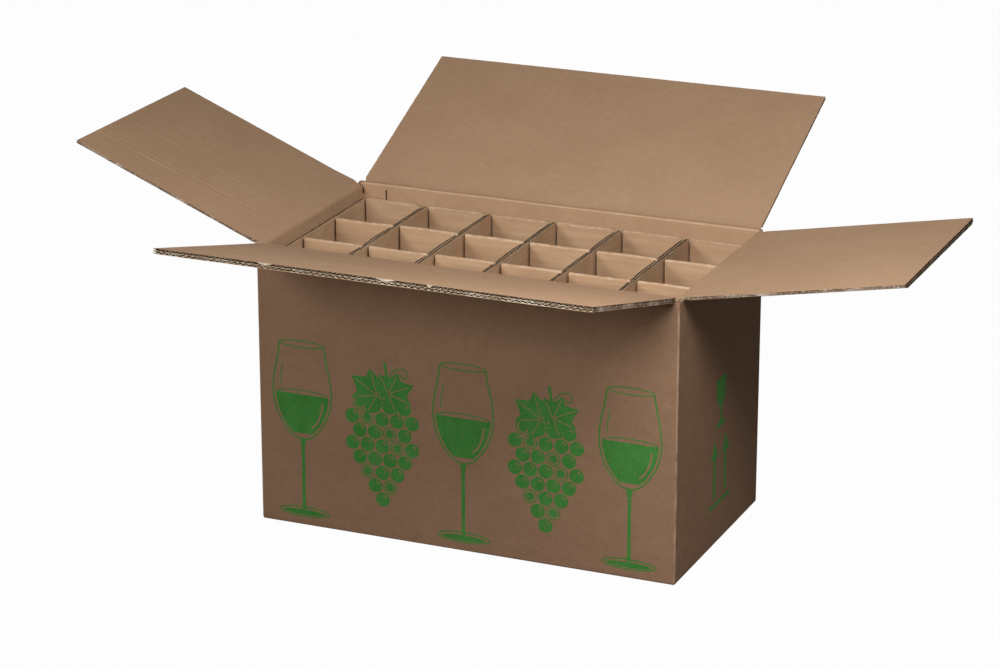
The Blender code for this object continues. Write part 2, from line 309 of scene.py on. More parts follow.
class Shader:
    """A node material under construction, with the few steps that finishes share."""

    def __init__(self, name: str, roughness: float, specular: float) -> None:
        """Start a material with its principled shader.

        Args:
            name: the material's name.
            roughness: how matt it is.
            specular: specular level of its surface.
        """
        self.material = bpy.data.materials.new(name)
        self.material.use_nodes = True
        self.tree = self.material.node_tree
        self.surface = self.tree.nodes["Principled BSDF"]
        self.surface.inputs["Roughness"].default_value = roughness
        self.surface.inputs["Specular IOR Level"].default_value = specular
        self.place = add_node(self.tree, "TexCoord").outputs["Object"]

    def grain(self, size_mm: Tuple[float, float, float], detail: float = 3.0,
              offset: float = 0.0) -> bpy.types.NodeSocket:
        """Add noise whose grains have a real size.

        Args:
            size_mm: length of a grain along X, Y and Z.
            detail: number of finer layers on it.
            offset: shift that sets it apart from other noise.

        Returns:
            The socket with values from 0 to 1.
        """
        scale = [1.0 / (size * MM) for size in size_mm]
        turned = add_node(self.tree, "Mapping", {
            "Vector": self.place, "Scale": scale, "Location": (offset, offset, offset)})
        return add_node(self.tree, "TexNoise", {
            "Vector": turned.outputs["Vector"], "Scale": 1.0, "Detail": detail,
            "Roughness": 0.55}).outputs["Fac"]

    def spread(self, value: bpy.types.NodeSocket, low: float, high: float,
               start: float = 0.0, end: float = 1.0) -> bpy.types.NodeSocket:
        """Stretch values from low to high over the range from start to end."""
        return add_node(self.tree, "MapRange", {
            "Value": value, "From Min": low, "From Max": high,
            "To Min": start, "To Max": end}).outputs["Result"]

    def patches(self, size_mm: Tuple[float, float, float], low: float, high: float,
                detail: float = 3.0, offset: float = 0.0) -> bpy.types.NodeSocket:
        """Give patches of a real size, whose soft edge lies between two noise values."""
        return self.spread(self.grain(size_mm, detail, offset), low, high)

    def mix(self, share: bpy.types.NodeSocket, first: object,
            second: object) -> bpy.types.NodeSocket:
        """Mix two colours, each a hex code or a socket, by a share."""
        node = add_node(self.tree, "Mix", data_type="RGBA")
        self.tree.links.new(share, node.inputs[0])
        for slot, colour in ((6, first), (7, second)):
            if isinstance(colour, str):
                node.inputs[slot].default_value = linear(colour)
            else:
                self.tree.links.new(colour, node.inputs[slot])
        return node.outputs[2]

    def math(self, operation: str, *values: object) -> bpy.types.NodeSocket:
        """Add one step of arithmetic on values or sockets."""
        return add_node(self.tree, "Math", dict(enumerate(values)),
                        operation=operation).outputs[0]

    def tint(self, colour: object, share: bpy.types.NodeSocket, amount: float,
             over: object) -> bpy.types.NodeSocket:
        """Lay an amount of a second colour over a first, in the shares of a pattern."""
        return self.mix(self.math("MULTIPLY", share, amount), colour, over)

    def axes(self) -> Sequence[bpy.types.NodeSocket]:
        """Give the sockets of the place's X, Y and Z."""
        return add_node(self.tree, "SeparateXYZ", {"Vector": self.place}).outputs

    def bump(self, height: bpy.types.NodeSocket, depth_mm: float,
             under: Optional[bpy.types.NodeSocket] = None) -> bpy.types.NodeSocket:
        """Raise the surface by a height from 0 to 1, on top of another bump if given."""
        inputs: Dict = {"Height": height, "Distance": depth_mm * MM, "Strength": 1.0}
        if under is not None:
            inputs["Normal"] = under
        return add_node(self.tree, "Bump", inputs).outputs["Normal"]

    def ribs(self, along: bpy.types.NodeSocket, pitch_mm: float,
             depth_mm: float) -> bpy.types.NodeSocket:
        """Raise the faint lines of the glued flutes, at their pitch along an axis."""
        turn = self.math("MULTIPLY", along, 2 * math.pi / (pitch_mm * MM))
        return self.bump(self.spread(self.math("SINE", turn), -1.0, 1.0), depth_mm)

    def tooth(self, under: Optional[bpy.types.NodeSocket] = None,
              offset: float = 0.0) -> bpy.types.NodeSocket:
        """Raise the paper's tooth: about 0.5 mm, drawn as 1.2 mm so that it shows."""
        return self.bump(self.grain((1.2, 1.2, 1.2), 3.0, offset), 0.05, under)

    def kraft(self, tone: str, cloud: str, fibre: str) -> bpy.types.NodeSocket:
        """Give the colour of a kraft liner: clouds, felt marks and fibres on its tone."""
        # Clouds of pulp 70 mm wide, felt marks of 9 mm and fibres about 0.7 by 4 mm
        clouds = self.patches((70, 70, 70), 0.35, 0.68, detail=2.0)
        felt = self.patches((9, 9, 9), 0.3, 0.75, offset=3.1)
        fibres = self.patches((4, 4, 0.7), 0.56, 0.72, detail=2.0, offset=7.7)
        colour = self.tint(tone, clouds, 0.4, cloud)
        colour = self.tint(colour, felt, 0.45, cloud)
        return self.tint(colour, fibres, 0.3, fibre)

    def finish(self, colour: bpy.types.NodeSocket,
               normal: bpy.types.NodeSocket) -> bpy.types.Material:
        """Join the colour and normal to the shader, and give the material."""
        self.tree.links.new(colour, self.surface.inputs["Base Color"])
        self.tree.links.new(normal, self.surface.inputs["Normal"])
        return self.material


@dataclass(frozen=True)
class LinerFinish:
    """Kraft liner of double-wall board, rolled and uncoated.

    It looks dull, softly clouded and finely fibrous, and the glued flutes show through it
    as faint parallel lines.
    """

    name: str
    tone: str
    cloud: str
    fibre: str
    flute_mm: float
    axis: int
    flute_depth_mm: float = 0.035
    roughness: float = 0.85

    def material(self) -> bpy.types.Material:
        """Build the liner's node material."""
        shader = Shader(self.name, self.roughness, 0.06)
        colour = shader.kraft(self.tone, self.cloud, self.fibre)
        ribs = shader.ribs(shader.axes()[self.axis], self.flute_mm, self.flute_depth_mm)
        return shader.finish(colour, shader.tooth(ribs, 1.3))


@dataclass(frozen=True)
class CartonFinish:
    """Both faces of the carton's board on one node: a darker, redder outer liner, its tone
    partly its own and partly painted shade, and a lighter inner one, which also turns over the
    folds at the top of the walls.
    """

    name: str
    outer: Tuple[str, str, str]
    inner: Tuple[str, str, str]
    # Pale colour of the upright folds: wear and a painted highlight
    wear_and_highlight: str

    def material(self) -> bpy.types.Material:
        """Build the carton's node material."""
        shader = Shader(self.name, 0.85, 0.06)
        along, across, up = shader.axes()[:3]
        past_end = shader.math("SUBTRACT", shader.math("ABSOLUTE", along), BOX.half_length)
        past_wall = shader.math("SUBTRACT", shader.math("ABSOLUTE", across), BOX.half_width)
        furthest = shader.math("MAXIMUM", past_end, past_wall)
        below = shader.math("SUBTRACT", 0.0, up)
        depth = shader.math("MAXIMUM", furthest, below)
        is_outer = shader.math("GREATER_THAN", depth, -BOX.board / 2)
        colour = shader.mix(is_outer, shader.kraft(*self.inner), shader.kraft(*self.outer))
        # The upright folds are rubbed pale and carry a painted highlight, over about 2 mm, in
        # stretches of 20 mm
        corner = shader.math("MINIMUM", past_end, past_wall)
        near = shader.spread(corner, -2.6 * MM, -0.8 * MM)
        rubbed_and_lit = shader.patches((6, 6, 24), 0.36, 0.66, offset=6.1)
        colour = shader.mix(shader.math("MULTIPLY", near, rubbed_and_lit), colour, self.wear_and_highlight)
        # Flutes stand upright: their lines run across X on long walls, across Y on ends
        is_long = shader.math("GREATER_THAN", past_wall, past_end)
        swing = shader.math("SUBTRACT", along, across)
        level = shader.math("MULTIPLY_ADD", is_long, swing, across)
        ribs = shader.ribs(level, 7.9, 0.02)
        # Dents from handling are 20 to 40 mm wide and about 0.5 mm deep
        dents = shader.bump(shader.grain((30, 30, 22), 3.0, 9.9), 1.6, ribs)
        return shader.finish(colour, shader.tooth(dents, 1.3))


@dataclass(frozen=True)
class CutFinish:
    """Freshly cut board edge and bare fluting: unbleached paper, torn a little by the knife,
    dark with pale fibre ends. Made near black, it is the painted shade in hollows.
    """

    name: str
    paper: str
    torn: str
    share: float

    def material(self) -> bpy.types.Material:
        """Build the cut edge's node material."""
        shader = Shader(self.name, 0.95, 0.03)
        # Fibre bundles at a cut are 1 to 2 mm long
        ends = shader.patches((1.8, 1.8, 1.2), self.share, self.share + 0.16)
        # The blade drags the paper out in stretches of 20 to 40 mm
        dragged = shader.patches((26, 26, 26), 0.5, 0.66, detail=2.0, offset=4.4)
        colour = shader.mix(ends, self.paper, self.torn)
        colour = shader.tint(colour, dragged, 0.6, self.torn)
        return shader.finish(colour, shader.bump(shader.grain((0.8, 0.8, 0.8)), 0.1))


@dataclass(frozen=True)
class DividerFinish:
    """Light single-wall board of the dividers: its flutes lie level, so the liner has
    long level streaks.
    """

    name: str
    tone: str
    streak: str
    shade: str
    # Pale colour of the tops: wear and a painted highlight
    wear_and_highlight: str

    def material(self) -> bpy.types.Material:
        """Build the divider board's node material."""
        shader = Shader(self.name, 0.85, 0.06)
        # Streaks are 4 to 5 mm high, as the flutes under them, and about 90 mm long
        streaks = shader.patches((90, 90, 4.5), 0.38, 0.66, detail=2.0)
        clouds = shader.patches((60, 60, 22), 0.38, 0.68, detail=2.0, offset=5.3)
        fibres = shader.patches((3, 3, 0.7), 0.56, 0.72, detail=2.0, offset=7.7)
        colour = shader.tint(self.tone, streaks, 0.55, self.streak)
        colour = shader.tint(colour, clouds, 0.45, self.shade)
        colour = shader.tint(colour, fibres, 0.25, self.streak)
        # The folds on top are rubbed pale and carry a painted highlight over their last 2 mm, in
        # stretches of 10 mm
        top = INSERT.base + INSERT.height
        near = shader.spread(shader.axes()[2], top - 2.4 * MM, top - 0.8 * MM, 0.0, 0.7)
        rubbed_and_lit = shader.patches((10, 10, 10), 0.42, 0.66, offset=8.8)
        colour = shader.mix(shader.math("MULTIPLY", near, rubbed_and_lit), colour, self.wear_and_highlight)
        return shader.finish(colour, shader.tooth(shader.bump(streaks, 0.12)))


@dataclass(frozen=True)
class InkFinish:
    """Water-based flexographic ink, pressed onto bare kraft: matt, a little uneven, with
    the liner's tone coming through in specks.
    """

    name: str
    ink: str
    thin: str
    paper: str

    def material(self) -> bpy.types.Material:
        """Build the printed ink's node material."""
        shader = Shader(self.name, 0.8, 0.1)
        uneven = shader.patches((14, 14, 26), 0.35, 0.7)
        # Missed specks are 0.5 to 1 mm, where the liner's tooth stands low
        specks = shader.patches((1.6, 1.6, 2.2), 0.6, 0.7, offset=2.9)
        colour = shader.mix(uneven, self.ink, self.thin)
        colour = shader.tint(colour, specks, 0.55, self.paper)
        return shader.finish(colour, shader.tooth())


class Palette:
    """All the materials of the box, each made once."""

    def __init__(self) -> None:
        """Build the materials."""
        inner = {"tone": "#B79576", "cloud": "#AA876A", "fibre": "#CAAD91"}
        # The outer tone is darker partly as the liner's own and partly as painted shade
        outer = {"tone": "#96765D", "cloud": "#856750", "fibre": "#B19178"}
        self.carton = CartonFinish(
            "carton_board_kraft", tuple(outer.values()), tuple(inner.values()),
            # The pale fold colour is wear and a painted highlight
            "#CAAB91").material()
        self.inner_long = LinerFinish(
            "inner_liner_long_flap", flute_mm=6.3, axis=0, **inner).material()
        self.inner_end = LinerFinish(
            "inner_liner_end_flap", flute_mm=6.3, axis=1, **inner).material()
        self.outer_long = LinerFinish(
            "outer_liner_long_flap", flute_mm=7.9, axis=0, **outer).material()
        self.outer_end = LinerFinish(
            "outer_liner_end_flap", flute_mm=7.9, axis=1, **outer).material()
        # The ridge over the back wall's rim: rubbed paler, and painted with its highlight
        self.ridge = LinerFinish(
            "fold_ridge_wear_and_highlight", "#C8A888", "#B39171", "#DCC2A4", 6.3, 0).material()
        self.liner_edge = CutFinish(
            "torn_liner_edge", "#A88A69", "#DFCDB4", 0.54).material()
        # Fluting paper, its tone darkened as painted shade inside the board
        self.fluting = CutFinish(
            "fluting_paper_and_shade", "#5A4635", "#8B7157", 0.52).material()
        self.pale_fluting = CutFinish(
            "torn_fluting_edge", "#B29C82", "#E6D9C7", 0.47).material()
        # Near black: painted shade in the flutes' hollows, the sunk cores and the glued tab's
        # gaps
        self.painted_shade = CutFinish(
            "painted_hollow_shade", "#1E1712", "#362A20", 0.6).material()
        self.side_tear = CutFinish(
            "torn_side_edge", "#675347", "#DECBBB", 0.5).material()
        # The divider's fluting paper, darkened as painted shade; it also paints the liners'
        # facing sides
        self.shaded_divider_fluting = CutFinish(
            "divider_fluting_and_shade", "#4A392C", "#745C47", 0.55).material()
        # The divider's last colour is the tops' wear and painted highlight
        self.divider = DividerFinish(
            "divider_liner", "#BB9878", "#CAAB8B", "#A78464", "#DAC2A6").material()
        self.divider_edge = CutFinish(
            "divider_liner_edge", "#B89A7B", "#D2BA9C", 0.45).material()
        self.ink = InkFinish("green_flexo_ink", "#3A7B33", "#45863D", "#9C7E66").material()

    def flap(self, side: Side) -> List[bpy.types.Material]:
        """Give a flap's materials in the order of FlapSlot."""
        faces = ([self.inner_long, self.outer_long] if side.is_long
                 else [self.inner_end, self.outer_end])
        return faces + [self.liner_edge, self.fluting, self.pale_fluting, self.painted_shade,
                        self.ridge, self.side_tear]


# Mesh tools

def board_layer(cuts: Tuple[int, int], place: Shaper,
                slots: Tuple[int, int, int]) -> bmesh.types.BMesh:
    """Make one closed sheet from a grid.

    Args:
        cuts: number of faces along and across the sheet.
        place: gives a point from its shares along, across and through the sheet.
        slots: material slots of the upper face, the under face and the rim.

    Returns:
        The sheet as a bmesh.
    """
    sheet = bmesh.new()
    bmesh.ops.create_grid(sheet, x_segments=cuts[0], y_segments=cuts[1], size=0.5)
    grown = bmesh.ops.extrude_face_region(sheet, geom=sheet.faces[:])
    bmesh.ops.translate(sheet, verts=new_verts(grown), vec=(0.0, 0.0, 1.0))
    for face in sheet.faces:
        level = sum(vert.co.z for vert in face.verts) / len(face.verts)
        face.material_index = slots[0] if level > 0.9 else slots[1] if level < 0.1 else slots[2]
    for vert in sheet.verts:
        vert.co = place(vert.co.x + 0.5, vert.co.y + 0.5, vert.co.z)
    bmesh.ops.recalc_face_normals(sheet, faces=sheet.faces)
    return sheet


def new_verts(grown: Dict) -> List[bmesh.types.BMVert]:
    """Give the points that an extrusion made."""
    return [part for part in grown["geom"] if isinstance(part, bmesh.types.BMVert)]


def absorb(target: bmesh.types.BMesh, part: bmesh.types.BMesh) -> None:
    """Add a part's faces to a target, and free the part."""
    store = bpy.data.meshes.new("part")
    part.to_mesh(store)
    part.free()
    target.from_mesh(store)
    bpy.data.meshes.remove(store)


def add_piece(name: str, shape: bmesh.types.BMesh, materials: Sequence[bpy.types.Material],
              place: Matrix, smooth_deg: float = 32.0) -> bpy.types.Object:
    """Turn a bmesh into an object at the origin, with its place in its mesh.

    Args:
        name: the piece's name.
        shape: its bmesh, which is freed.
        materials: its material slots in order.
        place: matrix from the piece's own frame to the part's frame.
        smooth_deg: folds sharper than this stay sharp.

    Returns:
        The linked object.
    """
    shape.transform(place)
    mesh = bpy.data.meshes.new(name)
    shape.to_mesh(mesh)
    shape.free()
    for material in materials:
        mesh.materials.append(material)
    mesh.shade_smooth()
    mesh.set_sharp_from_angle(angle=math.radians(smooth_deg))
    item = bpy.data.objects.new(name, mesh)
    bpy.context.scene.collection.objects.link(item)
    LOG.info("%s: %d faces", name, len(mesh.polygons))
    return item


def clamped(value: float) -> float:
    """Keep a value between 0 and 1."""
    return max(0.0, min(1.0, value))


def wander(distance: float, seed: float, size: float) -> float:
    """Give a smooth random number from about -1 to 1 along a line.

    Args:
        distance: place on the line.
        seed: which line of numbers it is.
        size: distance over which the number changes.

    Returns:
        The number.
    """
    return noise.noise(Vector((distance / size, seed * 7.31, seed * 3.77)))


def rounded(corners: Outline, radii: Sequence[float], steps: int = 6) -> Outline:
    """Round the inner corners of an open line.

    Args:
        corners: the line's points.
        radii: one radius for each corner between the ends, 0 for a sharp one.
        steps: pieces of each arc.

    Returns:
        The line's points with an arc at each rounded corner.
    """
    line = [corners[0]]
    for number, radius in enumerate(radii, start=1):
        before, corner, after = (Vector(corners[number + n]) for n in (-1, 0, 1))
        if radius <= 0.0:
            line.append(tuple(corner))
            continue
        back = (before - corner).normalized()
        on = (after - corner).normalized()
        half = math.acos(max(-1.0, min(1.0, back.dot(on)))) / 2
        middle = corner + (back + on).normalized() * (radius / math.sin(half))
        tangent = radius / math.tan(half)
        first = corner + back * tangent - middle
        last = corner + on * tangent - middle
        whole = first.angle_signed(last)
        for step in range(steps + 1):
            turned = Matrix.Rotation(-whole * step / steps, 2) @ first
            line.append(tuple(middle + turned))
    line.append(corners[-1])
    return line


class Trail:
    """An open line in a plane that a strip of board follows."""

    def __init__(self, points: Outline) -> None:
        """Keep the points, and work out directions and lengths along the line."""
        self.points = [Vector(point) for point in points]
        self.lengths = [0.0]
        for first, second in zip(self.points, self.points[1:]):
            self.lengths.append(self.lengths[-1] + (second - first).length)
        self.normals = [self._normal(n) for n in range(len(self.points))]

    def _normal(self, number: int) -> Vector:
        """Give the direction to the left of the line at one of its points."""
        before = self.points[max(0, number - 1)]
        after = self.points[min(len(self.points) - 1, number + 1)]
        along = (after - before).normalized()
        return Vector((-along.y, along.x))

    def at_corner(self, share: float, offset: float) -> Vector:
        """Give one of the line's own points, from its share of their number.

        Args:
            share: the point's number over the number of the last one.
            offset: distance to the left of the line.

        Returns:
            The point in the plane.
        """
        number = round(share * (len(self.points) - 1))
        return self.points[number] + self.normals[number] * offset

    def at(self, distance: float, offset: float) -> Vector:
        """Give the point at a distance along the line and an offset to its left."""
        number = 1
        while number < len(self.lengths) - 1 and self.lengths[number] < distance:
            number += 1
        start, end = self.lengths[number - 1], self.lengths[number]
        share = (distance - start) / max(end - start, 1e-9)
        point = self.points[number - 1].lerp(self.points[number], share)
        return point + self.normals[number - 1].lerp(self.normals[number], share) * offset


# Top flaps

@dataclass
class TopFlap:
    """One open top flap of double-wall board: three liners with two rows of flutes.

    The flutes run out from the fold, so they lie open along the flap's outer edge, and
    its two side edges are cut along them. A dent's size is out from the fold and along
    it, and side_torn holds the least and the further depth of a side edge's tearing.
    """

    side: Side
    seed: float
    fray: float = 0.0005
    side_crush: float = 0.4
    crush_width: float = 0.009
    side_torn: Tuple[float, float] = (0.0002, 0.0012)
    ribs_mm: float = 0.0
    dents_mm: float = 0.25
    dent_size: Tuple[float, float] = (0.09, 0.12)
    flat_root: float = 0.013
    flat_fade: float = 0.02
    wrinkles: Tuple[Tuple[float, float, float], ...] = ()
    wrinkle_mm: float = 0.7
    wrinkle_width: float = 0.0009
    wrinkle_stray: float = 0.0012
    tears: Tuple[Tuple[float, float], ...] = ()
    tear_length: float = 0.003
    top_rim: FlapSlot = FlapSlot.EDGE
    inner_pitch: float = 0.0063
    outer_pitch: float = 0.0079
    paper: float = 0.0006
    flute_lap: float = 0.001
    flute_side_gap: float = 0.0007
    flute_end_gap: float = 0.0003
    flute_wear: float = 0.0012

    def limit(self, out: float) -> float:
        """Give half the flap's span at a distance from its pivot."""
        return min(self.side.half_span, self.side.half_span - BOX.relief / 2 + out / 2)

    def dip(self, out: float, along: float) -> float:
        """Give how deep the inner liner lies in at a point.

        Soft dents, ribs over the flutes and long wrinkles that stand out all count.

        Args:
            out: distance from the pivot.
            along: place along the fold.

        Returns:
            The depth under the flap's flat inner face.
        """
        spot = Vector((out / self.dent_size[0], along / self.dent_size[1], self.seed))
        sunk = self.dents_mm * MM * (0.5 + 0.5 * noise.noise(spot))
        if self.ribs_mm:
            # The ribs show in patches of about 110 by 20 mm
            patch = noise.noise(Vector((out / 0.11, along / 0.02, self.seed + 4)))
            amount = clamped(0.55 + 0.75 * patch)
            crest = 0.5 + 0.5 * math.cos(2 * math.pi * along / self.inner_pitch)
            sunk += self.ribs_mm * MM * amount * crest
        if self.wrinkles:
            share = out / self.side.reach
            rise = 0.0
            for at_fold, at_edge, strength in self.wrinkles:
                middle = at_fold + (at_edge - at_fold) * share
                middle += self.wrinkle_stray * wander(out, self.seed + 50 * at_fold, 0.05)
                amount = strength * min(1.0, 0.7 + 0.8 * wander(out, 90 * at_edge, 0.07))
                away = (along - middle) / self.wrinkle_width
                rise = max(rise, amount * math.exp(-away ** 2))
            sunk += self.wrinkle_mm * MM * (1.0 - rise)
        return sunk * clamped((out - self.flat_root) / self.flat_fade)

    def tear(self, along: float) -> float:
        """Give how far the inner liner's torn fibres hang down over the cut edge."""
        rough = 0.6 + 0.5 * abs(wander(along, self.seed, 0.002))
        near = [max(0.0, 1.0 - abs(along - middle) / half) for middle, half in self.tears]
        return self.tear_length * rough * max(near, default=0.0) ** 0.5

    def level_at(self, level: float, out: float, along: float) -> float:
        """Give a level of the board where its side edges are crushed towards its inner face."""
        free = clamped((self.limit(out) - abs(along)) / self.crush_width)
        kept = 1.0 - self.side_crush * (1.0 - free * free * (3.0 - 2.0 * free))
        return self.side.inner_level + (level - self.side.inner_level) * kept

    def liner(self, high: float, low: float, cuts: Tuple[int, int],
              slots: Tuple[int, int, int], line: float, dipped: bool = False,
              ) -> bmesh.types.BMesh:
        """Make one liner, with its frayed edges.

        Args:
            high: level of its upper face in the flap's frame.
            low: level of its under face.
            cuts: faces out from the fold and along it.
            slots: material slots of its upper face, under face and rim.
            line: number that sets its fraying apart.
            dipped: whether the dents of the inner face show in it.

        Returns:
            The liner as a bmesh.
        """
        def place(share_out: float, share_along: float, through: float) -> Vector:
            """Give a point of the liner."""
            level = low + (high - low) * through
            root = self.side.root(level)
            hand = 1.0 if share_along > 0.5 else -1.0
            rough = wander(share_along, line, 0.004) + 0.6 * wander(share_along, line, 0.02)
            end = self.side.reach - self.fray * abs(rough)
            out = root + (end - root) * share_out
            torn = abs(wander(out, line + hand, 0.003)) + 0.8 * abs(wander(out, line, 0.014))
            along = (2 * share_along - 1) * (self.limit(out) - self.fray * torn)
            sunk = self.dip(out, along) if dipped else 0.0
            low_at_edge = through < 0.5 and share_out > 0.99
            if dipped and low_at_edge:
                sunk += self.tear(along)
            return Vector((out, along, self.level_at(level, out, along) - sunk))
        sheet = board_layer(cuts, place, slots)
        for face in sheet.faces:
            heights = [vert.co.z for vert in face.verts]
            hangs = max(heights) - min(heights) > 2 * BOX.liner and abs(face.normal.z) < 0.5
            if dipped and hangs:
                face.material_index = FlapSlot.TORN
        return sheet

    def core(self, high: float, low: float, line: float) -> bmesh.types.BMesh:
        """Make the filled part of one row of flutes, with its torn side edges.

        Args:
            high: level of its upper face.
            low: level of its under face.
            line: number that sets its tearing apart.

        Returns:
            The row as a bmesh.
        """
        end = self.side.reach - BOX.flute_depth

        def place(share_out: float, share_along: float, through: float) -> Vector:
            """Give a point of the row."""
            level = low + (high - low) * through
            root = self.side.root(level)
            out = root + (end - root) * share_out
            hand = 1.0 if share_along > 0.5 else -1.0
            torn = 0.5 + wander(out, line + hand, 0.007) + 0.5 * wander(out, line, 0.03)
            inset = self.side_torn[0] + self.side_torn[1] * clamped(torn)
            along = (2 * share_along - 1) * (self.limit(out) - inset)
            return Vector((out, along, self.level_at(level, out, along)))
        # The row's end, sunk in from the outer edge, is painted near black as the shade in the
        # flutes
        row = board_layer((90, 60), place, (FlapSlot.FLUTING, FlapSlot.FLUTING, FlapSlot.SHADED_HOLLOW))
        for face in row.faces:
            if face.material_index == FlapSlot.SHADED_HOLLOW and abs(face.normal.y) > 0.5:
                face.material_index = FlapSlot.SIDE
        return row

    def flutes(self, high: float, low: float, pitch: float, line: float
               ) -> bmesh.types.BMesh:
        """Make one row of open flutes along the outer edge.

        Args:
            high: level of the liner over it.
            low: level of the liner under it.
            pitch: length of one flute.
            line: number that sets its small faults apart.

        Returns:
            The fluted sheet as a bmesh.
        """
        row_top = self.side.inner_level - BOX.liner
        waves = round(2 * self.side.half_span / pitch)
        paper = self.paper * (0.5 if high == row_top else 1.0)
        swing = (high - low - paper) / 2
        start = self.side.reach - BOX.flute_depth - self.flute_lap

        def place(share_out: float, share_along: float, through: float) -> Vector:
            """Give a point of the fluted sheet."""
            along = (2 * share_along - 1) * (self.side.half_span - self.flute_side_gap)
            rough = abs(wander(along, line, 0.005))
            end = self.side.reach - self.flute_end_gap - self.flute_wear * rough
            crushed = 1.0 - 0.25 * abs(wander(along, line + 2, 0.03))
            turn = 2 * math.pi * waves * share_along + 0.5 * wander(along, line + 5, 0.04)
            level = (high + low) / 2 + swing * crushed * math.sin(turn)
            level += (through - 0.5) * paper
            out = start + (end - start) * share_out
            if high == row_top:
                level -= self.dip(out, along) * (level - low) / (high - low)
            return Vector((out, along, self.level_at(level, out, along)))
        # Both faces of the fluted paper are painted near black, as the shade in the open flutes
        slots = (FlapSlot.SHADED_HOLLOW, FlapSlot.SHADED_HOLLOW, FlapSlot.TORN)
        return board_layer((2, waves * 8), place, slots)

    def build(self, palette: Palette) -> bpy.types.Object:
        """Build the flap, ride it on its body and let it stand for its CAD node.

        Args:
            palette: the box's materials.

        Returns:
            The flap as one piece.
        """
        top = self.side.inner_level
        levels = [top, top - BOX.liner, top - BOX.liner - BOX.inner_flute,
                  top - 2 * BOX.liner - BOX.inner_flute, top - BOX.board + BOX.liner,
                  top - BOX.board]
        wide = 150 if self.side.is_long else 96
        fine = (48, 400) if self.wrinkles else (64, wide)
        sunk = (self.dents_mm + self.ribs_mm + self.wrinkle_mm * bool(self.wrinkles)) * MM
        fluting, edge = FlapSlot.FLUTING, FlapSlot.EDGE
        shape = self.liner(levels[0], levels[1], fine,
                           (FlapSlot.INNER, fluting, self.top_rim), self.seed, True)
        absorb(shape, self.liner(levels[2], levels[3], (60, wide),
                                 (fluting, fluting, edge), self.seed + 1))
        absorb(shape, self.liner(levels[4], levels[5], (60, wide),
                                 (fluting, FlapSlot.OUTER, edge), self.seed + 2))
        absorb(shape, self.core(levels[1] - sunk, levels[2], self.seed + 3))
        absorb(shape, self.core(levels[3], levels[4], self.seed + 4))
        absorb(shape, self.flutes(levels[1], levels[2], self.inner_pitch, self.seed + 5))
        absorb(shape, self.flutes(levels[3], levels[4], self.outer_pitch, self.seed + 6))
        self.cover_fold(shape)
        name = "flap_" + self.side.name
        piece = add_piece(name, shape, palette.flap(self.side), self.side.flap_frame())
        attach(piece, self.side.body)
        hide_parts(self.side.node)
        return piece

    @staticmethod
    def cover_fold(shape: bmesh.types.BMesh) -> None:
        """Put the outer liner, crushed in at the fold, over the board's mitred end."""
        shape.normal_update()
        for face in shape.faces:
            mitred = face.normal.x < -0.3 and abs(face.normal.y) < 0.5
            if mitred and face.material_index in (FlapSlot.EDGE, FlapSlot.SHADED_HOLLOW):
                face.material_index = FlapSlot.OUTER


